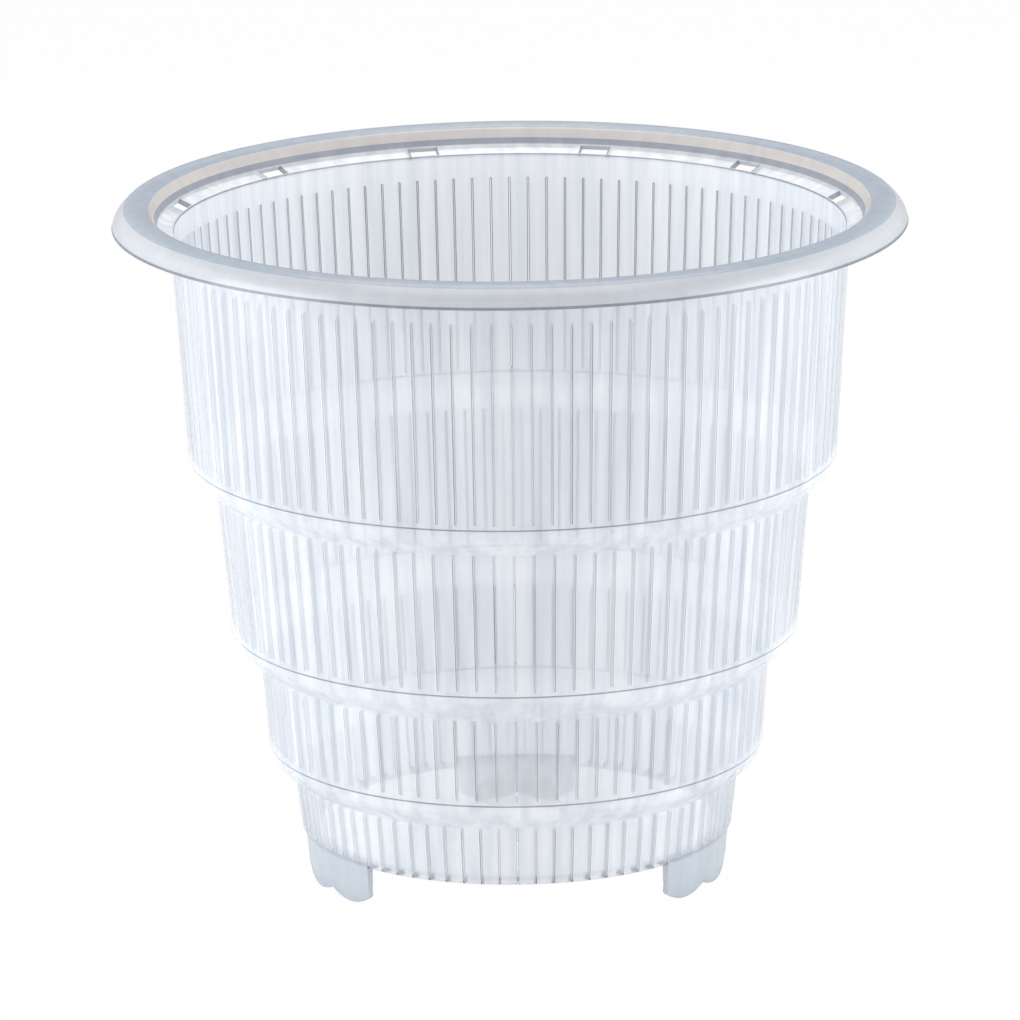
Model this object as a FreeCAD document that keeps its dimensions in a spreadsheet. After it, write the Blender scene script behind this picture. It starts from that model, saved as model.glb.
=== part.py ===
import FreeCAD
import os
import Part
import Sketcher

# A clear moulded orchid pot, millimetres, +Z up, standing on its feet at Z = 0.
# A rolled rim over a windowed throat, three slotted tiers that step inwards,
# a slotted base with a grille floor and drain cone, and three short feet.
# Each wall is a ring of flat staves between slots, closed below by the next ring.
# Radii are taken at the corners between the flats.
# The side at -Y is the front: every ring of slots has one slot there.

doc = FreeCAD.newDocument("orchid_pot")

SIZES = {
    "rim_diameter": 200.0,      # across the foot of the rim's skirt
    "skirt_out": 2.8,           # from the crest's outer edge to the skirt's foot
    "skirt_drop": 5.6,          # skirt's foot below the crest
    "skirt_bulge": 0.6,         # roundness of the skirt at half its height
    "crest_width": 6.8,         # across the rounded top of the rim
    "crest_round": 5.4,         # radius of that top
    "throat_in": 1.8,           # steep inner face of the rim, seen from above
    "ledge_width": 4.2,         # sloping ledge that holds the windows
    "ledge_rise": 1.8,
    "crest_rise": 6.7,          # crest above the mouth
    "lip": 1.4,                 # thickness of the rim and the ledge
    "collar_depth": 1.2,        # upright part below the ledge
    "window_count": 12,
    "window_width": 7.1,
    "window_inset": 0.6,        # web between the wall and a window
    "wall": 1.2,
    "ring_sides": 48,           # flats round the rim and the steps
    "neck_height": 4.0,         # smooth band under the collar, over the first slots
    "slot_width": 0.9,
    "slot_land": 1.4,           # solid band over the slots of each tier
    "tier1_height": 59.1,
    "tier1_taper": 3.4,
    "tier1_slots": 108,
    "tier2_height": 32.4,
    "tier2_taper": 2.9,
    "tier2_slots": 93,
    "tier3_height": 17.8,
    "tier3_taper": 1.5,
    "tier3_slots": 78,
    "base_height": 10.5,
    "base_taper": 1.3,
    "base_slots": 75,
    "step1_in": 7.1,
    "step2_in": 7.6,
    "step3_in": 6.8,
    "step_round": 12.3,         # radius of the bend under each tier
    "step_slope": 42.0,         # degrees between the bend's flank and the axis
    "crease": 0.25,             # sharp edge where a wall meets its bend
    "floor": 1.5,
    "floor_fit": 0.05,          # floor's edge to the staves round it
    "floor_slots": 24,
    "floor_slot_width": 1.4,
    "floor_slot_inside": 5.0,   # solid floor round the cone
    "floor_slot_outside": 8.0,  # solid floor outside the radial slots
    "cone_foot": 13.0,          # radius
    "cone_top": 8.0,            # radius
    "cone_height": 12.0,
    "cone_sides": 32,
    "cone_slots": 8,
    "cone_slot_width": 1.6,
    "cone_slot_margin": 2.4,
    "foot_count": 3,
    "foot_height": 10.1,
    "foot_angle": 33.0,
    "foot_wall": 2.2,
    "foot_taper": 1.0,
    "foot_round": 5.2,
    "foot_notch": 1.6,
}

sheet = doc.addObject("Spreadsheet::Sheet", "Sizes")
for row, (alias, number) in enumerate(SIZES.items(), start=1):
    sheet.set("A%d" % row, alias)
    sheet.set("B%d" % row, str(number))
    sheet.setAlias("B%d" % row, alias)
doc.recompute()


def size(text):
    """A formula in the sheet's names, written out for a binding."""
    words = sorted(SIZES, key=len, reverse=True)
    for number, word in enumerate(words):
        text = text.replace(word, "<%d>" % number)
    for number, word in enumerate(words):
        text = text.replace("<%d>" % number, "Sizes." + word)
    return text


def value(text):
    """The number that such a formula gives now."""
    result = sheet.evalExpression(size(text))
    return float(getattr(result, "Value", result))


def plus(*terms):
    return " + ".join("(%s)" % term for term in terms)


def less(first, *terms):
    return "(%s)" % first + "".join(" - (%s)" % term for term in terms)


# Radii of the outer skin, from the rim inwards.
SKIRT_R = "rim_diameter / 2"
SHOULDER_R = less(SKIRT_R, "skirt_out")
CREST_R = less(SHOULDER_R, "crest_width / 2")
THROAT_R = less(SHOULDER_R, "crest_width")
LEDGE_R = less(THROAT_R, "throat_in")
MOUTH_R = less(LEDGE_R, "ledge_width", "-wall")
TIER1_R = less(MOUTH_R, "tier1_taper")
CORNER1_R = less(TIER1_R, "step1_in")
TIER2_R = less(CORNER1_R, "tier2_taper")
CORNER2_R = less(TIER2_R, "step2_in")
TIER3_R = less(CORNER2_R, "tier3_taper")
CORNER3_R = less(TIER3_R, "step3_in")
BASE_R = less(CORNER3_R, "base_taper")

# Heights, from the table up. A step is its round bend and then its straight flank.
SLOPE = "step_slope * 1deg"
BEND_IN = "crease + step_round * (1 - cos(%s))" % SLOPE
BEND_DROP = "step_round * sin(%s)" % SLOPE


def step_drop(step_in):
    return plus(BEND_DROP, "(%s - (%s)) / tan(%s)" % (step_in, BEND_IN, SLOPE))


CORNER3_Z = plus("foot_height", "base_height")
TIER3_Z = plus(CORNER3_Z, step_drop("step3_in"))
CORNER2_Z = plus(TIER3_Z, "tier3_height")
TIER2_Z = plus(CORNER2_Z, step_drop("step2_in"))
CORNER1_Z = plus(TIER2_Z, "tier2_height")
TIER1_Z = plus(CORNER1_Z, step_drop("step1_in"))
MOUTH_Z = plus(TIER1_Z, "tier1_height")
COLLAR_Z = less(MOUTH_Z, "collar_depth")
LEDGE_Z = plus(MOUTH_Z, "ledge_rise")
CREST_Z = plus(MOUTH_Z, "crest_rise")
FLOOR_Z = plus("foot_height", "floor")


UP = FreeCAD.Vector(0, 0, 1)
FRONT = FreeCAD.Rotation(UP, -90)
UPRIGHT_AT_FRONT = FreeCAD.Rotation(FreeCAD.Vector(0, -1, 0), UP, FreeCAD.Vector(-1, 0, 0))


def outline(sketch, points):
    """Closed outline of straight lines through points (formula, formula)."""
    spots = [FreeCAD.Vector(value(x), value(y), 0) for x, y in points]
    edges = []
    for number, start in enumerate(spots):
        end = spots[(number + 1) % len(spots)]
        edges.append(sketch.addGeometry(Part.LineSegment(start, end)))
    for number, edge in enumerate(edges):
        after = edges[(number + 1) % len(edges)]
        sketch.addConstraint(Sketcher.Constraint("Coincident", edge, 2, after, 1))
    for edge, (x, y), spot in zip(edges, points, spots):
        for kind, formula, number in (("DistanceX", x, spot.x), ("DistanceY", y, spot.y)):
            mark = sketch.addConstraint(Sketcher.Constraint(kind, -1, 1, edge, 1, number))
            sketch.setExpression("Constraints[%d]" % mark, size(formula))


def polygon(name, sides, radius, height):
    """Level polygon round the axis, with a corner at the front."""
    level = doc.addObject("Part::RegularPolygon", name)
    level.setExpression("Polygon", size(sides))
    level.setExpression("Circumradius", size(radius))
    level.Placement.Rotation = FRONT
    level.setExpression("Placement.Base.z", size(height))
    return level


def flat_ring(label, sides, section):
    """Ring with flat sides: a section of points (radius, height) carried round."""
    sketch = doc.addObject("Sketcher::SketchObject", label + "_section")
    sketch.Placement.Rotation = UPRIGHT_AT_FRONT
    outline(sketch, section)
    path = polygon(label + "_path", sides, *section[0])
    doc.recompute()
    ring = doc.addObject("Part::Sweep", label)
    ring.Label = label
    ring.Sections = [sketch]
    ring.Spine = (path, ["Edge%d" % (number + 1) for number in range(len(path.Shape.Edges))])
    ring.Solid = True
    ring.Transition = "Right corner"
    return ring


def flat_solid(name, sides, levels):
    """Solid with flat sides through levels (radius, height), from the lowest up."""
    solid = doc.addObject("Part::Loft", name)
    solid.Sections = [
        polygon("%s_level_%d" % (name, number), sides, radius, height)
        for number, (radius, height) in enumerate(levels)]
    solid.Solid = True
    solid.Ruled = True
    return solid


def cut(label, base, tool):
    result = doc.addObject("Part::Cut", label)
    result.Label = label
    result.Base = base
    result.Tool = tool
    result.Refine = False
    return result


def comb(name, count, width, reach, levels, turn=0.0):
    """Row of upright blades round the axis, reach and levels as (from, to)."""
    (near, far), (low, high) = reach, levels
    blade = doc.addObject("Part::Box", name + "_blade")
    blade.setExpression("Length", size(width))
    blade.setExpression("Width", size(less(far, near)))
    blade.setExpression("Height", size(less(high, low)))
    blade.setExpression("Placement.Base.x", size("-(%s) / 2" % width))
    blade.setExpression("Placement.Base.y", size("-(%s)" % far))
    blade.setExpression("Placement.Base.z", size(low))
    doc.recompute()
    total = int(round(value(count)))
    blades = []
    for number in range(total):
        copy = blade.Shape.copy()
        copy.rotate(FreeCAD.Vector(), UP, turn + 360.0 * number / total)
        blades.append(copy)
    row = doc.addObject("Part::Feature", name + "_comb")
    row.Shape = Part.makeCompound(blades)
    return row


def make_staves(label, sides, top, low, land):
    """Tapered wall of flat staves, hung from a solid band, between two levels."""
    (top_r, top_z), (low_r, low_z) = top, low
    shell = flat_ring(label + "_shell", sides, [
        (top_r, top_z),
        (low_r, low_z),
        (less(low_r, "wall"), low_z),
        (less(top_r, "wall"), top_z),
    ])
    slots = comb(
        label, sides, "slot_width",
        (less(low_r, "3 * wall"), plus(top_r, "wall")),
        (less(low_z, "wall"), less(top_z, land)))
    return cut(label, shell, slots)


def make_step(label, tier, corner):
    """Solid ring under a tier: the round bend, its flank and the inner corner below."""
    (tier_r, tier_z), (corner_r, corner_z) = tier, corner
    centre = less(tier_r, "crease", "step_round")
    inner = "(step_round + crease - wall)"

    def on_bend(radius, turn):
        return (plus(centre, "%s * cos(%s)" % (radius, turn)),
                less(tier_z, "%s * sin(%s)" % (radius, turn)))

    return flat_ring(label, "ring_sides", [
        (less(tier_r, "crease"), tier_z),
        on_bend("step_round", SLOPE + " / 2"),
        on_bend("step_round", SLOPE),
        (corner_r, corner_z),
        (less(corner_r, "wall"), corner_z),
        (less(corner_r, "wall"), plus(corner_z, "wall * tan(%s / 2)" % SLOPE)),
        on_bend(inner, SLOPE),
        (less(tier_r, "wall"), tier_z),
    ])


CREST_TURN = "asin(crest_width / 2 / crest_round)"


def on_crest(radius, turn):
    """Point of the rim's rounded top, turned outwards from its middle."""
    centre_z = less(CREST_Z, "crest_round")
    return (plus(CREST_R, "(%s) * sin(%s)" % (radius, turn)),
            plus(centre_z, "(%s) * cos(%s)" % (radius, turn)))


SHOULDER = on_crest("crest_round", CREST_TURN)
SHOULDER_LOW = on_crest("crest_round - lip", CREST_TURN)
LEDGE = (LEDGE_R, LEDGE_Z)
LEDGE_LOW = (LEDGE_R, less(LEDGE_Z, "lip"))


def make_rim_skirt():
    """Outer edge of the rolled rim, hanging from the crest."""
    foot_z = less(CREST_Z, "skirt_drop")
    middle_z = "((%s) + (%s)) / 2" % (SHOULDER[1], foot_z)
    return flat_ring("rim_skirt", "ring_sides", [
        SHOULDER,
        (plus(SHOULDER_R, "skirt_out / 2", "skirt_bulge"), middle_z),
        (SKIRT_R, foot_z),
        (less(SKIRT_R, "lip"), foot_z),
        SHOULDER_LOW,
    ])


def make_rim_crest():
    """Rounded top of the rim and the steep face inside it."""
    return flat_ring("rim_crest", "ring_sides", [
        LEDGE,
        on_crest("crest_round", "-" + CREST_TURN),
        on_crest("crest_round", "-%s / 2" % CREST_TURN),
        on_crest("crest_round", "0deg"),
        on_crest("crest_round", CREST_TURN + " / 2"),
        SHOULDER,
        SHOULDER_LOW,
        on_crest("crest_round - lip", "0deg"),
        on_crest("crest_round - lip", "-" + CREST_TURN),
        LEDGE_LOW,
    ])


def make_window_collar():
    """Sloping ledge inside the rim, with windows that open down beside the wall."""
    inside = less(MOUTH_R, "wall")
    shell = flat_ring("window_collar_shell", "ring_sides", [
        (inside, MOUTH_Z),
        LEDGE,
        LEDGE_LOW,
        (MOUTH_R, plus(MOUTH_Z, "wall * ledge_rise / ledge_width", "-lip")),
        (MOUTH_R, COLLAR_Z),
        (inside, COLLAR_Z),
    ])
    windows = comb(
        "window_collar", "window_count", "window_width",
        (plus(inside, "window_inset"), plus(LEDGE_R, "wall")),
        (less(COLLAR_Z, "wall"), plus(LEDGE_Z, "wall")),
        180.0 / value("window_count"))
    return cut("window_collar", shell, windows)


def make_floor_grille():
    """Floor disc within the lowest staves, with radial slots and a hole for the cone."""
    edge_r = less(BASE_R, "wall", "floor_fit")
    disc = flat_solid("floor_disc", "base_slots", [(edge_r, "foot_height"), (edge_r, FLOOR_Z)])
    hole = flat_solid(
        "floor_hole", "cone_sides", [("cone_foot", "foot_height"), ("cone_foot", FLOOR_Z)])
    slots = comb(
        "floor_grille", "floor_slots", "floor_slot_width",
        ("cone_foot + floor_slot_inside", less(edge_r, "floor_slot_outside")),
        ("0", plus(FLOOR_Z, "wall")))
    return cut("floor_grille", cut("floor_ring", disc, hole), slots)


def make_drain_cone():
    """Hollow cone over the middle of the floor, closed on top, slotted round its side."""
    top_z = plus(FLOOR_Z, "cone_height")
    side = flat_ring("drain_cone_side", "cone_sides", [
        ("cone_foot", "foot_height"),
        ("cone_foot", FLOOR_Z),
        ("cone_top", top_z),
        ("cone_top - wall", top_z),
        ("cone_top - wall", less(top_z, "wall")),
        ("cone_foot - wall", FLOOR_Z),
        ("cone_foot - wall", "foot_height"),
    ])
    cap = flat_solid("drain_cone_cap", "cone_sides", [
        ("cone_top - wall", less(top_z, "wall")),
        ("cone_top - wall", top_z),
    ])
    shell = doc.addObject("Part::Fuse", "drain_cone_shell")
    shell.Base = side
    shell.Tool = cap
    shell.Refine = True
    slots = comb(
        "drain_cone", "cone_slots", "cone_slot_width",
        ("cone_top / 2", "cone_foot + wall"),
        (plus(FLOOR_Z, "cone_slot_margin"), less(top_z, "cone_slot_margin")))
    return cut("drain_cone", shell, slots)


def plane(body, role):
    return next(item for item in body.Origin.OriginFeatures if item.Role == role)


def new_sketch(body, name, role):
    sketch = body.newObject("Sketcher::SketchObject", body.Name + "_" + name)
    sketch.AttachmentSupport = [(plane(body, role), "")]
    sketch.MapMode = "FlatFace"
    return sketch


def make_foot(number):
    """Short curved leg under the lowest staves, with round lower corners and a notch."""
    body = doc.addObject("PartDesign::Body", "foot_%d" % (number + 1))
    body.Label = body.Name
    top_r = "(%s) * cos(180deg / base_slots)" % BASE_R
    sketch = new_sketch(body, "section", "XZ_Plane")
    outline(sketch, [
        (top_r, "foot_height"),
        (less(top_r, "foot_taper"), "0"),
        (less(top_r, "foot_taper", "foot_wall"), "0"),
        (less(top_r, "foot_wall"), "foot_height"),
    ])
    leg = body.newObject("PartDesign::Revolution", body.Name + "_turned")
    leg.Profile = sketch
    leg.ReferenceAxis = (sketch, ["V_Axis"])
    leg.setExpression("Angle", size("foot_angle"))
    leg.Midplane = True
    doc.recompute()
    ends = []
    for index, edge in enumerate(leg.Shape.Edges, start=1):
        low = max(abs(vertex.Z) for vertex in edge.Vertexes) < 1e-6
        if low and isinstance(edge.Curve, Part.Line):
            ends.append("Edge%d" % index)
    corners = body.newObject("PartDesign::Fillet", body.Name + "_corners")
    corners.Base = (leg, ends)
    corners.setExpression("Radius", size("foot_round"))
    mouth = new_sketch(body, "notch", "YZ_Plane")
    ring = mouth.addGeometry(Part.Circle(FreeCAD.Vector(), UP, value("foot_notch")))
    mouth.addConstraint(Sketcher.Constraint("Coincident", ring, 3, -1, 1))
    mark = mouth.addConstraint(Sketcher.Constraint("Radius", ring, value("foot_notch")))
    mouth.setExpression("Constraints[%d]" % mark, size("foot_notch"))
    notch = body.newObject("PartDesign::Pocket", body.Name + "_notch_cut")
    notch.Profile = mouth
    notch.Type = "ThroughAll"
    notch.Reversed = True
    turn = 360.0 / value("foot_count")
    body.Placement.Rotation = FreeCAD.Rotation(UP, turn * (number + 0.5) - 90)
    doc.recompute()
    if notch.Shape.Volume >= corners.Shape.Volume:
        raise RuntimeError("%s has no notch" % body.Label)
    return body


TIER1, CORNER1 = (TIER1_R, TIER1_Z), (CORNER1_R, CORNER1_Z)
TIER2, CORNER2 = (TIER2_R, TIER2_Z), (CORNER2_R, CORNER2_Z)
TIER3, CORNER3 = (TIER3_R, TIER3_Z), (CORNER3_R, CORNER3_Z)

sub_parts = [
    make_rim_skirt(),
    make_rim_crest(),
    make_window_collar(),
    make_staves("tier_1", "tier1_slots", (MOUTH_R, COLLAR_Z), TIER1, "neck_height + slot_land"),
    make_step("step_1", TIER1, CORNER1),
    make_staves("tier_2", "tier2_slots", CORNER1, TIER2, "slot_land"),
    make_step("step_2", TIER2, CORNER2),
    make_staves("tier_3", "tier3_slots", CORNER2, TIER3, "slot_land"),
    make_step("step_3", TIER3, CORNER3),
    make_staves("base_wall", "base_slots", CORNER3, (BASE_R, "foot_height"), "slot_land"),
    make_floor_grille(),
    make_drain_cone(),
]
sub_parts += [make_foot(number) for number in range(int(value("foot_count")))]
doc.recompute()

for item in doc.Objects:
    if "Invalid" in item.State or "Error" in item.State:
        raise RuntimeError("%s did not build: %s" % (item.Label, item.State))
for part in sub_parts:
    if part.Shape.isNull() or not part.Shape.isValid():
        raise RuntimeError("%s has no sound shape" % part.Label)

os.makedirs("parts", exist_ok=True)
for part in sub_parts:
    part.Shape.exportStep("parts/%s.step" % part.Label)
    print(part.Label, len(part.Shape.Solids), round(part.Shape.Volume, 1))
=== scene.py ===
import math

import bmesh
import bpy
from mathutils import Matrix, Vector


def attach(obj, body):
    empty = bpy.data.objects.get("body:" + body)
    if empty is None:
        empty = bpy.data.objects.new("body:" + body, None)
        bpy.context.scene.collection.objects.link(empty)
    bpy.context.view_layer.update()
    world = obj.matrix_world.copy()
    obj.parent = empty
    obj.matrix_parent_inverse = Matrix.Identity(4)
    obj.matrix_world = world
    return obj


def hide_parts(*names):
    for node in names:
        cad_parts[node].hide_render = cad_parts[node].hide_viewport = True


# A clear orchid pot, moulded in one piece from polypropylene. It is made here as it is drawn:
# the skin that faces up and inwards is turned section by section, slotted, joined and thickened.
# Sizes are in mm, with angles in degrees; NEAR and ON_LINE are how close a point must lie to count.
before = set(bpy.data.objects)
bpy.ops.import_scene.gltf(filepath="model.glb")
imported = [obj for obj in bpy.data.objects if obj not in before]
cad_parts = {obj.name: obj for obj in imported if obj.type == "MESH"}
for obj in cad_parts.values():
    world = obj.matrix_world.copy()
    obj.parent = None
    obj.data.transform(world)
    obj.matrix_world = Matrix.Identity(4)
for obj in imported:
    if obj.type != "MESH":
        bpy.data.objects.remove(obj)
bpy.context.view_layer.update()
MM = 0.001
NEAR = 0.05
ON_LINE = 0.01


# --- Rim ---------------------------------------------------------------------------------
# The rolled rim stiffens the thin pot and is what a hand lifts it by. Polypropylene, moulded
# with the rest; its skirt, rounded crest and steep throat are one lip of even thickness.
WALL = 1.2
RIM_COLUMNS = 408
SKIRT_CENTRE, SKIRT_ROUND = (93.14, 166.79), 7.0
CREST_CENTRE, CREST_ROUND = (93.8, 168.4), 5.4
CREST_TURN, THROAT_TURN = 36, 39
THROAT_FOOT = (88.6, 168.9)
MOUTH = (84.4, 167.1)
NECK_FOOT = (84.05, 162.0)


def on_arc(centre, radius, turn):
    """Point (radius, height) on an arc; the angle is in degrees, from upright outwards."""
    turn = math.radians(turn)
    return centre[0] + radius * math.sin(turn), centre[1] + radius * math.cos(turn)


def arc(centre, radius, start, end, steps):
    """Points on an arc between two angles."""
    turns = [start + (end - start) * step / steps for step in range(steps + 1)]
    return [on_arc(centre, radius, turn) for turn in turns]


def rounded(before, corner, after, radius, steps=4):
    """Points of a round corner between two straight runs of a section."""
    before, corner, after = Vector(before), Vector(corner), Vector(after)
    back, onward = (before - corner).normalized(), (after - corner).normalized()
    half = back.angle(onward) / 2
    centre = corner + (back + onward).normalized() * (radius / math.sin(half))
    first = corner + back * (radius / math.tan(half)) - centre
    last = corner + onward * (radius / math.tan(half)) - centre
    turn = first.angle_signed(last)
    points = []
    for step in range(steps + 1):
        spoke = first.copy()
        spoke.rotate(Matrix.Rotation(-turn * step / steps, 2))
        points.append(tuple(centre + spoke))
    return points


def turned(name, section, columns):
    """Thin skin turned about the pot's axis from a section of points (radius, height), in mm."""
    bpy.ops.object.select_all(action="DESELECT")
    bpy.ops.mesh.primitive_plane_add(size=MM)
    skin = bpy.context.object
    skin.name = skin.data.name = name
    bpy.ops.object.mode_set(mode="EDIT")
    bpy.ops.mesh.select_mode(type="VERT")
    bpy.ops.mesh.select_all(action="SELECT")
    bpy.ops.mesh.merge(type="CENTER")
    bpy.ops.transform.translate(value=(0, -section[0][0] * MM, section[0][1] * MM))
    for (near, low), (far, high) in zip(section, section[1:]):
        step = (0, (near - far) * MM, (high - low) * MM)
        bpy.ops.mesh.extrude_region_move(TRANSFORM_OT_translate={"value": step})
    bpy.ops.mesh.select_all(action="SELECT")
    bpy.ops.mesh.spin(steps=columns, angle=math.tau, center=(0, 0, 0), axis=(0, 0, 1))
    bpy.ops.mesh.select_all(action="SELECT")
    bpy.ops.mesh.remove_doubles(threshold=0.01 * MM)
    bpy.ops.object.mode_set(mode="OBJECT")
    return skin


def place(point):
    """(radius, height, degrees from the front) of a point, in mm."""
    angle = math.degrees(math.atan2(point.x, -point.y))
    return math.hypot(point.x, point.y) / MM, point.z / MM, angle


def pick(piece, kind, wanted):
    """In edit mode, select the vertices, edges or faces whose places pass a test."""
    bpy.ops.mesh.select_mode(type=kind)
    bpy.ops.mesh.select_all(action="DESELECT")
    mesh = bmesh.from_edit_mesh(piece.data)
    items = {"VERT": mesh.verts, "EDGE": mesh.edges, "FACE": mesh.faces}[kind]
    for item in items:
        corners = [item.co] if kind == "VERT" else [corner.co for corner in item.verts]
        if wanted([place(corner) for corner in corners]):
            item.select_set(True)
    bmesh.update_edit_mesh(piece.data)


crest_end = on_arc(CREST_CENTRE, CREST_ROUND, -CREST_TURN)
throat_top = on_arc(CREST_CENTRE, CREST_ROUND, -THROAT_TURN)
throat_middle = tuple(Vector(throat_top).lerp(Vector(THROAT_FOOT), 0.6))
rim_section = (
    arc(SKIRT_CENTRE, SKIRT_ROUND, 78.4, 38, 7)
    + arc(CREST_CENTRE, CREST_ROUND, CREST_TURN, -CREST_TURN, 12)
    + rounded(crest_end, throat_top, THROAT_FOOT, 0.8, 3)
    + [throat_middle]
    + rounded(throat_top, THROAT_FOOT, MOUTH, 0.7, 3)
    + rounded(THROAT_FOOT, MOUTH, NECK_FOOT, 0.4, 3)
    + [NECK_FOOT]
)
rim = turned("rim", rim_section, RIM_COLUMNS)


# --- Windows in the ledge --------------------------------------------------------------------
# Twelve openings in the sloping ledge inside the rim, where clips and wires hook in. The mould
# closes steel on steel there, so their sides are clean and square.
WINDOWS = 12
WINDOW_COLUMNS = 6
WINDOW_INNER, WINDOW_OUTER = 84.9, 88.3
WINDOW_LIP = 0.3


def in_window(corners):
    half = 360 / RIM_COLUMNS * WINDOW_COLUMNS / 2 + ON_LINE
    pitch = 360 / WINDOWS
    for radius, height, angle in corners:
        off = (angle - pitch / 2) % pitch
        if min(off, pitch - off) > half or not WINDOW_INNER - 0.3 < radius < WINDOW_OUTER + 0.2:
            return False
        if not MOUTH[1] + NEAR < height < THROAT_FOOT[1] + 0.4:
            return False
    return True


bpy.ops.object.mode_set(mode="EDIT")
pick(rim, "FACE", in_window)
bpy.ops.mesh.inset(thickness=WINDOW_LIP * MM, depth=0, use_even_offset=True)
bpy.ops.mesh.delete(type="FACE")
bpy.ops.object.mode_set(mode="OBJECT")


# --- First tier ------------------------------------------------------------------------------
# The tall upper wall, open in 108 upright slots that let air to the roots. The slots stop just
# above the crease, and the plain round bend below it ties the staves together.
BEND, CREASE, SLOPE = 6.0, 0.25, 52
INNER_BEND = BEND + CREASE - WALL
BAND = 12
SLOT, SLOT_LIP, SLOT_LAND = 0.24, 0.2, 1.1
TIER_1, CORNER_1, SLOTS_1 = (82.2, 109.15), (75.4, 101.1), 108
NECK_SEAM = (84.03, 161.6)
SLOT_TOP_R, SLOT_TOP = 83.97, 160.7
# CREASE_LINE is how far the painted shade line runs down from the crease.
CREASE_LINE = 0.3
SMOOTH = math.radians(28)


def on_bend(tier, turn):
    """Point of the inner skin on the bend under a tier, turned down from the level."""
    turn = math.radians(turn)
    centre = tier[0] - CREASE - BEND
    return centre + INNER_BEND * math.cos(turn), tier[1] - INNER_BEND * math.sin(turn)


def foot_of(tier):
    """Section from a tier's foot over the crease to the first of the bend."""
    foot = tier[0] - WALL
    line_end = math.degrees(CREASE_LINE / INNER_BEND)
    return [
        (foot, tier[1] + SLOT_LAND), (foot, tier[1] + 0.09), (foot, tier[1] - 0.06),
        on_bend(tier, line_end), on_bend(tier, 8), on_bend(tier, BAND),
    ]


def head_of(tier, corner, foot, round_off=2.5):
    """Section on down the bend and its flank and round into the next wall."""
    inner = (corner[0] - WALL, corner[1] + WALL * math.tan(math.radians(SLOPE / 2)))
    return [
        on_bend(tier, BAND + 1.5), on_bend(tier, 20), on_bend(tier, 28), on_bend(tier, 36),
        on_bend(tier, 44), on_bend(tier, SLOPE),
    ] + rounded(on_bend(tier, SLOPE), inner, foot, round_off)


def slotted(skin, count, runs_through):
    """Cut upright slots with rounded ends; runs_through tests a point's (radius, height)."""
    pitch = 360 / count

    def on_slot(corners):
        for radius, height, angle in corners:
            off = angle % pitch
            if min(off, pitch - off) > ON_LINE or not runs_through(radius, height):
                return False
        return True

    bpy.ops.object.select_all(action="DESELECT")
    skin.select_set(True)
    bpy.context.view_layer.objects.active = skin
    bpy.ops.object.mode_set(mode="EDIT")
    pick(skin, "EDGE", on_slot)
    bpy.ops.mesh.bevel(
        offset_type="OFFSET", offset=(SLOT / 2 + SLOT_LIP) * MM, segments=1,
        affect="EDGES", clamp_overlap=False)
    bpy.ops.mesh.select_mode(type="FACE")
    bpy.ops.mesh.inset(thickness=SLOT_LIP * MM, depth=0, use_even_offset=True)
    bpy.ops.mesh.delete(type="FACE")
    bpy.ops.object.mode_set(mode="OBJECT")


tier_one_section = [NECK_SEAM, (SLOT_TOP_R, SLOT_TOP)] + foot_of(TIER_1)
tier_one = turned("tier_one", tier_one_section, 2 * SLOTS_1)
first_low = TIER_1[1] + SLOT_LAND - NEAR
slotted(tier_one, SLOTS_1, lambda radius, height: first_low < height < SLOT_TOP + NEAR)


# --- Second tier -----------------------------------------------------------------------------
# A shorter wall, set in by the first bend, with 93 slots of the same width. Moulded with the
# rest; its slots begin under the inner corner.
TIER_2, CORNER_2, SLOTS_2 = (72.2, 64.15), (64.9, 55.7), 93


def next_tier(name, above, corner, tier, count):
    """A slotted wall between two bends."""
    foot = foot_of(tier)
    head = head_of(above, corner, foot[0])
    skin = turned(name, head + foot, 2 * count)
    high, low = head[-1][1] + NEAR, foot[0][1] - NEAR
    slotted(skin, count, lambda radius, height: low < height < high)
    return skin


tier_two = next_tier("tier_two", TIER_1, CORNER_1, TIER_2, SLOTS_2)


# --- Third tier ------------------------------------------------------------------------------
# The lowest full tier, moulded with the rest. The second bend sets it in, and it has 78 slots of
# the same width.
TIER_3, CORNER_3, SLOTS_3 = (63.1, 33.35), (56.7, 25.6), 78
tier_three = next_tier("tier_three", TIER_2, CORNER_2, TIER_3, SLOTS_3)


# --- Base wall -------------------------------------------------------------------------------
# The short wall round the floor. Its 75 slots run down and wrap under the rounded lower corner,
# so that no water stands in the pot.
FLOOR_TOP = 11.3
BASE_R, BASE_SLOTS = 55.0, 75
FLOOR_EDGE = 50.5
SLOT_UNDER = 51.4
base_foot = (BASE_R - WALL, FLOOR_TOP)
base_head = head_of(TIER_3, CORNER_3, base_foot)
base_section = (
    base_head
    + rounded((CORNER_3[0] - WALL, CORNER_3[1]), base_foot, (FLOOR_EDGE, FLOOR_TOP), 0.4)
    + [(SLOT_UNDER, FLOOR_TOP), (FLOOR_EDGE, FLOOR_TOP)]
)
base = turned("base", base_section, 2 * BASE_SLOTS)
base_high = base_head[-1][1] + NEAR
slotted(base, BASE_SLOTS, lambda radius, height: height < base_high and radius > SLOT_UNDER - NEAR)


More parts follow.
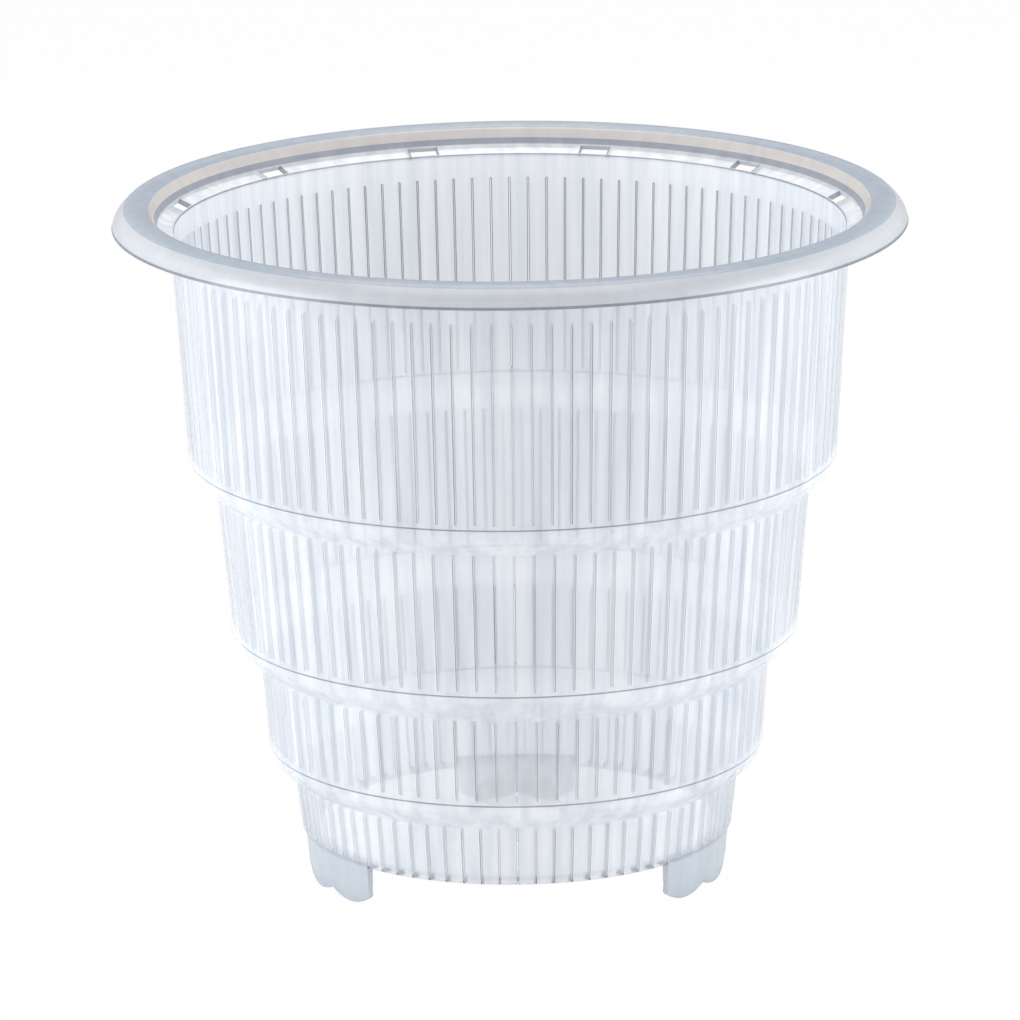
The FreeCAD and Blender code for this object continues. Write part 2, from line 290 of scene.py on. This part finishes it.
# --- One shell -------------------------------------------------------------------------------
# In the tool the rim, tiers and base are one cavity. So the skins are joined, the narrow rings
# between them are bridged, and the whole is given the wall's thickness towards the outside.
bpy.ops.object.select_all(action="DESELECT")
for skin in (tier_one, tier_two, tier_three, base, rim):
    skin.select_set(True)
bpy.context.view_layer.objects.active = rim
bpy.ops.object.join()
shell = rim
shell.name = shell.data.name = "pot_shell"
bpy.ops.object.mode_set(mode="EDIT")
seams = [(NECK_FOOT[1], NECK_SEAM[1])]
for tier in (TIER_1, TIER_2, TIER_3):
    seams.append((on_bend(tier, BAND)[1], on_bend(tier, BAND + 1.5)[1]))
for heights in seams:
    def at_seam(corners):
        level = corners[0][1]
        return (abs(corners[0][1] - corners[1][1]) < 0.01
                and min(abs(level - height) for height in heights) < 0.01)
    pick(shell, "EDGE", at_seam)
    bpy.ops.mesh.bridge_edge_loops()


def facing_up(piece):
    """Turn an open skin's faces so that they look up and into the pot."""
    bpy.ops.mesh.select_all(action="SELECT")
    bpy.ops.mesh.normals_make_consistent(inside=False)
    mesh = bmesh.from_edit_mesh(piece.data)
    if sum(face.normal.z * face.calc_area() for face in mesh.faces) < 0:
        bpy.ops.mesh.flip_normals()


def thicken(piece, wall, away=-1):
    """Give an open skin its wall, on the far side of its faces."""
    modifier = piece.modifiers.new("wall", "SOLIDIFY")
    modifier.thickness = wall * MM
    modifier.offset = away
    bpy.ops.object.modifier_apply(modifier=modifier.name)


facing_up(shell)
bpy.ops.object.mode_set(mode="OBJECT")
thicken(shell, WALL)

# The bend's outer skin stands back a little from the wall above it: a sharp line on the mould.
bpy.ops.object.mode_set(mode="EDIT")


def outside_bend(corners):
    radius, height, angle = corners[0]
    for tier in (TIER_1, TIER_2, TIER_3):
        across, down = radius - (tier[0] - CREASE - BEND), tier[1] - height
        if down > 0.0 and across > 0 and math.degrees(math.atan2(down, across)) < SLOPE + 1:
            if math.hypot(across, down) > INNER_BEND + WALL / 2:
                return math.hypot(across, down) < INNER_BEND + WALL + 0.3
    return False


pick(shell, "VERT", outside_bend)
bpy.ops.transform.shrink_fatten(value=-CREASE * MM)
bpy.ops.object.mode_set(mode="OBJECT")
bpy.ops.object.shade_smooth_by_angle(angle=SMOOTH)


def hex_colour(text):
    """Linear colour from a six-figure sRGB hex value."""
    linear = []
    for start in (0, 2, 4):
        level = int(text[start:start + 2], 16) / 255
        linear.append(level / 12.92 if level <= 0.04045 else ((level + 0.055) / 1.055) ** 2.4)
    return (*linear, 1.0)


def add_node(tree, kind, links=None, **values):
    """Add a shader node, set its properties and sockets, and link what feeds it."""
    node = tree.nodes.new(kind)
    for key, value in values.items():
        if hasattr(node, key):
            setattr(node, key, value)
        else:
            node.inputs[key.replace("_", " ")].default_value = value
    for socket, source in (links or {}).items():
        tree.links.new(source, node.inputs[socket])
    return node


def new_material(name):
    material = bpy.data.materials.new(name)
    material.use_nodes = True
    material.node_tree.nodes.clear()
    return material, material.node_tree


# Natural polypropylene, moulded against polished steel: clear to milky and glossy, with upright
# streaks about 4 mm wide where the melt flowed down between the slots. It hides more where it is
# looked along than where it is looked through, as clear plastic does.
STREAKS_PER_METRE = 260.0
STREAK_STRETCH = 0.025


def clear_polypropylene(region, light, shade, thin, edge_on, roughness=0.2):
    """Its opacity runs from thin, looked straight through, to edge_on, looked along."""
    material, tree = new_material("clear_polypropylene_" + region)
    spot = add_node(tree, "ShaderNodeTexCoord").outputs["Object"]
    stretch = add_node(tree, "ShaderNodeMapping", {"Vector": spot}, Scale=(1.0, 1.0, STREAK_STRETCH))
    flow = add_node(tree, "ShaderNodeTexNoise", {"Vector": stretch.outputs["Vector"]},
                    Scale=STREAKS_PER_METRE, Detail=2.0, Roughness=0.5)
    tone = add_node(tree, "ShaderNodeValToRGB", {"Fac": flow.outputs["Fac"]})
    tone.color_ramp.elements[0].position, tone.color_ramp.elements[1].position = 0.35, 0.65
    tone.color_ramp.elements[0].color = hex_colour(shade)
    tone.color_ramp.elements[1].color = hex_colour(light)
    ripple = add_node(tree, "ShaderNodeBump", {"Height": flow.outputs["Fac"]},
                      Strength=0.08, Distance=0.0004)
    facing = add_node(tree, "ShaderNodeLayerWeight", Blend=0.2)
    depth = add_node(tree, "ShaderNodeMapRange", {"Value": facing.outputs["Facing"]},
                     To_Min=thin, To_Max=edge_on)
    skin = add_node(tree, "ShaderNodeBsdfPrincipled",
                    {"Base Color": tone.outputs["Color"], "Normal": ripple.outputs["Normal"],
                     "Alpha": depth.outputs["Result"]},
                    Roughness=roughness, IOR=1.49)
    add_node(tree, "ShaderNodeOutputMaterial", {"Surface": skin.outputs["BSDF"]})
    return material


# One plastic all over. The wall is the clearest, and the rim looks milkier, because the eye meets
# several thicknesses of it. The crest is painted darker and bluer than the skirt, as painted shade.
clear_wall = clear_polypropylene("wall", "EAF0F8", "D2DCE8", 0.36, 0.88)
rim_skirt = clear_polypropylene("rim_skirt", "CAD1D9", "C6CCD5", 0.62, 0.95)
rim_crest = clear_polypropylene("rim_crest", "A8B6C5", "A2B0C0", 0.7, 0.95)
# The throat stands in the shade of the crest, and only its upper part takes the light from above.
throat_skin = clear_polypropylene("throat", "989FAA", "9098A5", 0.8, 0.95)
throat_top_skin = clear_polypropylene("throat_top", "CECBC9", "C7C5C4", 0.8, 0.95)
# A slot's sides come off the tool's ground blades and are duller than the wall, and their darker
# colour is painted shade in the narrow slot. The inner lip is painted dark, as painted shade for the
# dark line of a thin edge of clear plastic, and the outer lip pale, as a painted highlight.
slot_side = clear_polypropylene("slot_side", "BCC6D1", "B3BECB", 0.3, 0.5, 0.3)
slot_lip_shade = clear_polypropylene("slot_lip_shade", "5C6572", "535C69", 0.8, 0.95, 0.3)
lip_highlight = clear_polypropylene("lip_highlight", "E2E6EB", "D6DCE3", 0.5, 0.8, 0.3)
# Painted shade: the sharp turn under each wall, where the bend stands back under it, and edges that
# are seen edge-on, are painted as a thin grey line.
crease_shade = clear_polypropylene("crease", "808997", "767F8D", 0.75, 0.95, 0.3)


def inner_wall(height):
    """Slots in the wall at a height, and the radius of its inner skin there."""
    for count, (top_r, top_z), (low_r, low_z) in (
            (SLOTS_1, (SLOT_TOP_R, SLOT_TOP), (TIER_1[0] - WALL, TIER_1[1])),
            (SLOTS_2, (CORNER_1[0] - WALL, CORNER_1[1]), (TIER_2[0] - WALL, TIER_2[1])),
            (SLOTS_3, (CORNER_2[0] - WALL, CORNER_2[1]), (TIER_3[0] - WALL, TIER_3[1])),
            (BASE_SLOTS, (CORNER_3[0] - WALL, CORNER_3[1]), (BASE_R - WALL, FLOOR_TOP - 2))):
        if low_z < height < top_z + 0.4:
            return count, low_r + (top_r - low_r) * (height - low_z) / (top_z - low_z)
    return 0, 0


# Where one region meets the next, in mm: distances out from the inner skin, then radii and a
# height on the rim.
WITHIN, INNER_LIP, OUTER_LIP, SKIN_REACH = -3.0, 0.3, 0.9, 1.8
CREST_EDGE, THROAT_EDGE = 97.3, 90.6
SKIRT_EDGE, SKIRT_FOOT = 99.8, 168.7


def middle_of(corners):
    return [sum(corner[axis] for corner in corners) / len(corners) for axis in (0, 1)]


def by_slot(corners, near, far):
    """True within a slot's lip, between two distances out from the inner skin."""
    radius, height = middle_of(corners)
    count, inner = inner_wall(height)
    if not count or not near < radius - inner < far or radius < SLOT_UNDER - 0.5:
        return False
    pitch = 360 / count
    reach = math.degrees((SLOT / 2 + SLOT_LIP + 0.05) / radius)
    return max(min(corner[2] % pitch, pitch - corner[2] % pitch) for corner in corners) < reach


def in_crease(corners):
    """The narrow ring where the outer skin turns from a wall into its bend, painted as a line of
    shade.
    """
    radius = middle_of(corners)[0]
    heights = [corner[1] for corner in corners]
    for tier in (TIER_1, TIER_2, TIER_3):
        if radius > tier[0] - CREASE - 0.3:
            return tier[1] - CREASE_LINE - 0.15 < min(heights) and max(heights) < tier[1] + 0.12
    return False


def in_rolled_rim(corners):
    return min(corner[0] for corner in corners) > THROAT_FOOT[0] + 0.1


def in_crest(corners):
    return in_rolled_rim(corners) and max(corner[0] for corner in corners) < CREST_EDGE


def in_throat(corners):
    radius, height = middle_of(corners)
    return THROAT_FOOT[0] - 0.1 < radius < THROAT_EDGE and height > THROAT_FOOT[1] - 1.5


def in_throat_top(corners):
    return in_throat(corners) and min(corner[1] for corner in corners) > throat_middle[1] - NEAR


def dark_edge(corners):
    """Window sides, the mouth's edge and the skirt's foot, painted dark as shade: the shade under
    the skirt and the dark line of an edge seen edge-on.
    """
    radius, height = middle_of(corners)
    angles = [corner[2] for corner in corners]
    if WINDOW_INNER - 0.1 < radius < WINDOW_OUTER + 0.1 and height > 160:
        pitch = 360 / WINDOWS
        offs = [abs(angle % pitch - pitch / 2) for angle in angles]
        half = 180 / RIM_COLUMNS * WINDOW_COLUMNS
        lip = math.degrees(WINDOW_LIP / radius)
        return min(offs) > half - lip - 0.03 and max(offs) < half + 0.03
    if height > MOUTH[1] - 0.6 and radius < MOUTH[0] + 0.35:
        return height < MOUTH[1] + 0.2
    return min(corner[0] for corner in corners) > SKIRT_EDGE and height < SKIRT_FOOT


def paint(material, wanted):
    """Give the faces that pass a test a material of their own."""
    shell.data.materials.append(material)
    bpy.ops.object.mode_set(mode="EDIT")
    pick(shell, "FACE", wanted)
    shell.active_material_index = len(shell.data.materials) - 1
    bpy.ops.object.material_slot_assign()
    bpy.ops.object.mode_set(mode="OBJECT")


shell.data.materials.append(clear_wall)
paint(rim_skirt, in_rolled_rim)
# The crest takes its painted shade here.
paint(rim_crest, in_crest)
paint(throat_skin, in_throat)
paint(throat_top_skin, in_throat_top)
# Painted shade on the slot sides and inner lips, and a painted highlight on the outer lips.
paint(slot_side, lambda corners: by_slot(corners, INNER_LIP, OUTER_LIP))
paint(slot_lip_shade, lambda corners: by_slot(corners, WITHIN, INNER_LIP))
paint(lip_highlight, lambda corners: by_slot(corners, OUTER_LIP, SKIN_REACH))
# The creases, window sides, mouth edge and skirt foot take the painted shade line.
paint(crease_shade, lambda corners: in_crease(corners) or dark_edge(corners))
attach(shell, "root")
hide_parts("rim_skirt", "rim_crest", "window_collar", "tier_1", "step_1",
            "tier_2", "step_2", "tier_3", "step_3", "base_wall")


# --- Floor -----------------------------------------------------------------------------------
# The floor is a grille of 24 radial slots inside the base, moulded with the wall. Water leaves
# through it, and air comes up from under the raised pot.
FLOOR_SLOTS, FLOOR_SLOT = 24, 1.4
FLOOR_SLOT_IN, FLOOR_MIDDLE, FLOOR_SLOT_OUT = 18.5, 32.0, 45.5
CONE_FOOT = 13.0
floor = turned("floor_grille", [
    (FLOOR_EDGE - 0.02, FLOOR_TOP), (FLOOR_SLOT_OUT, FLOOR_TOP), (FLOOR_MIDDLE, FLOOR_TOP),
    (FLOOR_SLOT_IN, FLOOR_TOP), (CONE_FOOT, FLOOR_TOP),
], 4 * FLOOR_SLOTS)


def on_floor_slot(corners):
    pitch = 360 / FLOOR_SLOTS
    for radius, height, angle in corners:
        if min(angle % pitch, pitch - angle % pitch) > ON_LINE:
            return False
        if not FLOOR_SLOT_IN - NEAR < radius < FLOOR_SLOT_OUT + NEAR:
            return False
    return True


bpy.ops.object.mode_set(mode="EDIT")
pick(floor, "EDGE", on_floor_slot)
bpy.ops.mesh.bevel(offset_type="OFFSET", offset=FLOOR_SLOT / 2 * MM, segments=1,
                   affect="EDGES", clamp_overlap=False)
bpy.ops.mesh.delete(type="FACE")
facing_up(floor)
bpy.ops.object.mode_set(mode="OBJECT")
thicken(floor, WALL)
bpy.ops.object.shade_smooth_by_angle(angle=SMOOTH)
# The same plastic. The floor lies inside, over the white table, and hardly shows in the
# photograph: its opacity is set low.
floor_skin = clear_polypropylene("floor", "EEF2F7", "E0E7EF", 0.2, 0.32)
floor.data.materials.append(floor_skin)
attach(floor, "root")
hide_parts("floor_grille")


# --- Drain cone ------------------------------------------------------------------------------
# A hollow cone in the middle of the floor that leads air into the bark, closed on top and
# slotted round its side. It is moulded in one with the floor.
CONE_TOP, CONE_HEIGHT, CONE_SLOTS, CONE_SLOT = 8.0, 12.0, 8, 1.6
cone_top = FLOOR_TOP + CONE_HEIGHT
slot_low, slot_high = (12.2, FLOOR_TOP + 2.1), (9.2, cone_top - 2.9)
cone_section = [(CONE_FOOT, FLOOR_TOP), slot_low, slot_high]
cone_section += rounded(slot_high, (CONE_TOP, cone_top), (0, cone_top), 0.8)
cone = turned("drain_cone", cone_section + [(0.0, cone_top)], 4 * CONE_SLOTS)


def on_cone_slot(corners):
    pitch = 360 / CONE_SLOTS
    for radius, height, angle in corners:
        if min(angle % pitch, pitch - angle % pitch) > ON_LINE:
            return False
        if not slot_high[0] - NEAR < radius < slot_low[0] + NEAR:
            return False
    return True


bpy.ops.object.mode_set(mode="EDIT")
pick(cone, "EDGE", on_cone_slot)
bpy.ops.mesh.bevel(offset_type="OFFSET", offset=CONE_SLOT / 2 * MM, segments=1,
                   affect="EDGES", clamp_overlap=False)
bpy.ops.mesh.delete(type="FACE")
facing_up(cone)
bpy.ops.object.mode_set(mode="OBJECT")
thicken(cone, WALL)
bpy.ops.object.shade_smooth_by_angle(angle=SMOOTH)
# The same plastic, seen only through the wall: set clearer still.
# Its colour is painted lighter than the wall's: painted light that lifts the shade inside the pot.
cone_skin = clear_polypropylene("cone", "F4F7FA", "E8EDF3", 0.14, 0.2)
cone.data.materials.append(cone_skin)
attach(cone, "root")
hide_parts("drain_cone")


# --- Feet ------------------------------------------------------------------------------------
# Three short curved feet go on downwards from the wall and lift the floor off the table. Their
# lower corners are round, and a nick in the middle lets water out. Moulded with the base.
FOOT_ANGLE, FOOT_COLUMNS, FOOT_WALL = 33.0, 48, 2.0
FOOT_TOP, FOOT_TOP_R, FOOT_MEAN_R, FOOT_ROUND = 11.7, 55.08, 54.0, 4.5
FOOT_DROPS = ((1.6, 0.12), (5.2, 0.45), (4.9, 0.43))
NOTCH_RISE, END_RISE = 1.7, 2.4
FOOT_MIDDLES = (60.0, 180.0, 300.0)


def foot_bottom(along, half):
    """Height of a foot's lower edge, by the distance along it from its middle, in mm."""
    lobe = half / 2
    off = abs(along) - lobe
    rise = END_RISE if off > 0 else NOTCH_RISE
    height = rise * (off / lobe) ** 2
    beyond = abs(along) - (half - FOOT_ROUND)
    if beyond > 0:
        corner = FOOT_ROUND - math.sqrt(max(FOOT_ROUND ** 2 - beyond ** 2, 0.0))
        height = max(height, corner)
    return height


# The same plastic, 2 mm thick and so a little milkier than the wall.
foot_skin = clear_polypropylene("foot", "BAC5D2", "B4BFCD", 0.5, 0.9)
foot_half = math.radians(FOOT_ANGLE / 2) * FOOT_MEAN_R
for number, middle in enumerate(FOOT_MIDDLES, start=1):
    bpy.ops.object.select_all(action="DESELECT")
    bpy.ops.mesh.primitive_plane_add(size=MM)
    foot = bpy.context.object
    foot.name = foot.data.name = "foot_%d_moulded" % number
    start = math.radians(middle - FOOT_ANGLE / 2)
    bpy.ops.object.mode_set(mode="EDIT")
    bpy.ops.mesh.select_mode(type="VERT")
    bpy.ops.mesh.select_all(action="SELECT")
    bpy.ops.mesh.merge(type="CENTER")
    spoke = Vector((math.sin(start), -math.cos(start), 0))
    bpy.ops.transform.translate(value=spoke * FOOT_TOP_R * MM + Vector((0, 0, FOOT_TOP * MM)))
    for drop, inwards in FOOT_DROPS:
        step = spoke * -inwards * MM - Vector((0, 0, drop * MM))
        bpy.ops.mesh.extrude_region_move(TRANSFORM_OT_translate={"value": step})
    bpy.ops.mesh.select_all(action="SELECT")
    bpy.ops.mesh.spin(steps=FOOT_COLUMNS, angle=-math.radians(FOOT_ANGLE),
                      center=(0, 0, 0), axis=(0, 0, 1))
    for column in range(FOOT_COLUMNS + 1):
        turn = -FOOT_ANGLE / 2 + FOOT_ANGLE * column / FOOT_COLUMNS
        rise = foot_bottom(math.radians(turn) * FOOT_MEAN_R, foot_half)

        def at_column(corners):
            off = (corners[0][2] - middle - turn + 180) % 360 - 180
            return abs(off) < 0.1 and corners[0][1] < 1.0

        if rise > 0.001:
            pick(foot, "VERT", at_column)
            bpy.ops.transform.translate(value=(0, 0, rise * MM))
    bpy.ops.mesh.select_all(action="SELECT")
    bpy.ops.mesh.normals_make_consistent(inside=False)
    mesh = bmesh.from_edit_mesh(foot.data)
    if sum(face.normal.dot(face.calc_center_median()) for face in mesh.faces) < 0:
        bpy.ops.mesh.flip_normals()
    bpy.ops.object.mode_set(mode="OBJECT")
    thicken(foot, FOOT_WALL)
    edge = foot.modifiers.new("edge", "BEVEL")
    edge.width, edge.segments, edge.limit_method = 0.35 * MM, 2, "ANGLE"
    edge.angle_limit = math.radians(50)
    bpy.ops.object.modifier_apply(modifier=edge.name)
    bpy.ops.object.shade_smooth_by_angle(angle=SMOOTH)
    foot.data.materials.append(foot_skin)
    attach(foot, "root")
    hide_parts("foot_%d" % number)


# --- Floor of the studio, light and camera ---------------------------------------------------
# A plain white table that runs out of view, soft light from above and from both sides, and a
# long lens a little above the rim, slightly tilted as in the photograph.
bpy.ops.mesh.primitive_plane_add(size=12.0)
table = bpy.context.object
table.name = table.data.name = "table"


def seen_or_lit(tree, seen, lit):
    """One shader for what the camera sees and another for the light that it gives."""
    path = add_node(tree, "ShaderNodeLightPath")
    return add_node(tree, "ShaderNodeMixShader", {0: path.outputs["Is Camera Ray"],
                                                  1: lit.outputs[0], 2: seen.outputs[0]})


# Matt white, lit so evenly that it meets the white behind it without a line.
white, tree = new_material("white_table")
matt = add_node(tree, "ShaderNodeBsdfDiffuse", Color=hex_colour("F4F4F4"))
glow = add_node(tree, "ShaderNodeEmission", Color=(1, 1, 1, 1), Strength=1.0)
half_glow = add_node(tree, "ShaderNodeMixShader", {1: matt.outputs[0], 2: glow.outputs[0]})
half_glow.inputs[0].default_value = 0.97
both = seen_or_lit(tree, half_glow, matt)
add_node(tree, "ShaderNodeOutputMaterial", {"Surface": both.outputs[0]})
table.data.materials.append(white)

world = bpy.data.worlds.new("studio")
bpy.context.scene.world = world
world.use_nodes = True
tree = world.node_tree
tree.nodes.clear()
soft = add_node(tree, "ShaderNodeBackground", Color=hex_colour("EEF3FA"), Strength=0.5)
plain = add_node(tree, "ShaderNodeBackground", Color=(1, 1, 1, 1), Strength=1.0)
both = seen_or_lit(tree, plain, soft)
add_node(tree, "ShaderNodeOutputWorld", {"Surface": both.outputs[0]})

POT_MIDDLE = Vector((0, 0, 0.09))
for name, spot, size, power, colour in (
        ("light_above", (0.0, 0.1, 1.2), 1.0, 10.0, "FFF0E2"),
        ("light_left", (-1.1, -0.35, 0.35), 0.8, 11.5, "FFFCF7"),
        ("light_right", (1.2, -0.3, 0.35), 0.8, 11.5, "FFFCF7")):
    bpy.ops.object.light_add(type="AREA", location=spot)
    light = bpy.context.object
    light.name = light.data.name = name
    light.data.size = size
    light.data.energy = power
    light.data.color = hex_colour(colour)[:3]
    light.rotation_euler = (POT_MIDDLE - Vector(spot)).to_track_quat("-Z", "Y").to_euler()

ELEVATION, ROLL = math.radians(14.8), math.radians(-0.70)
DISTANCE, LENS = 1.877, 261.0
target = Vector((-0.00086, 0, 0.0927))
bpy.ops.object.camera_add()
camera = bpy.context.object
camera.location = target + DISTANCE * Vector((0, -math.cos(ELEVATION), math.sin(ELEVATION)))
turn = Matrix.Rotation(math.pi / 2 - ELEVATION, 3, "X") @ Matrix.Rotation(ROLL, 3, "Z")
camera.rotation_euler = turn.to_euler()
camera.data.sensor_width = 36.0
camera.data.lens = LENS
camera.data.clip_end = 50.0
bpy.context.scene.camera = camera
bpy.context.scene.view_settings.view_transform = "Standard"
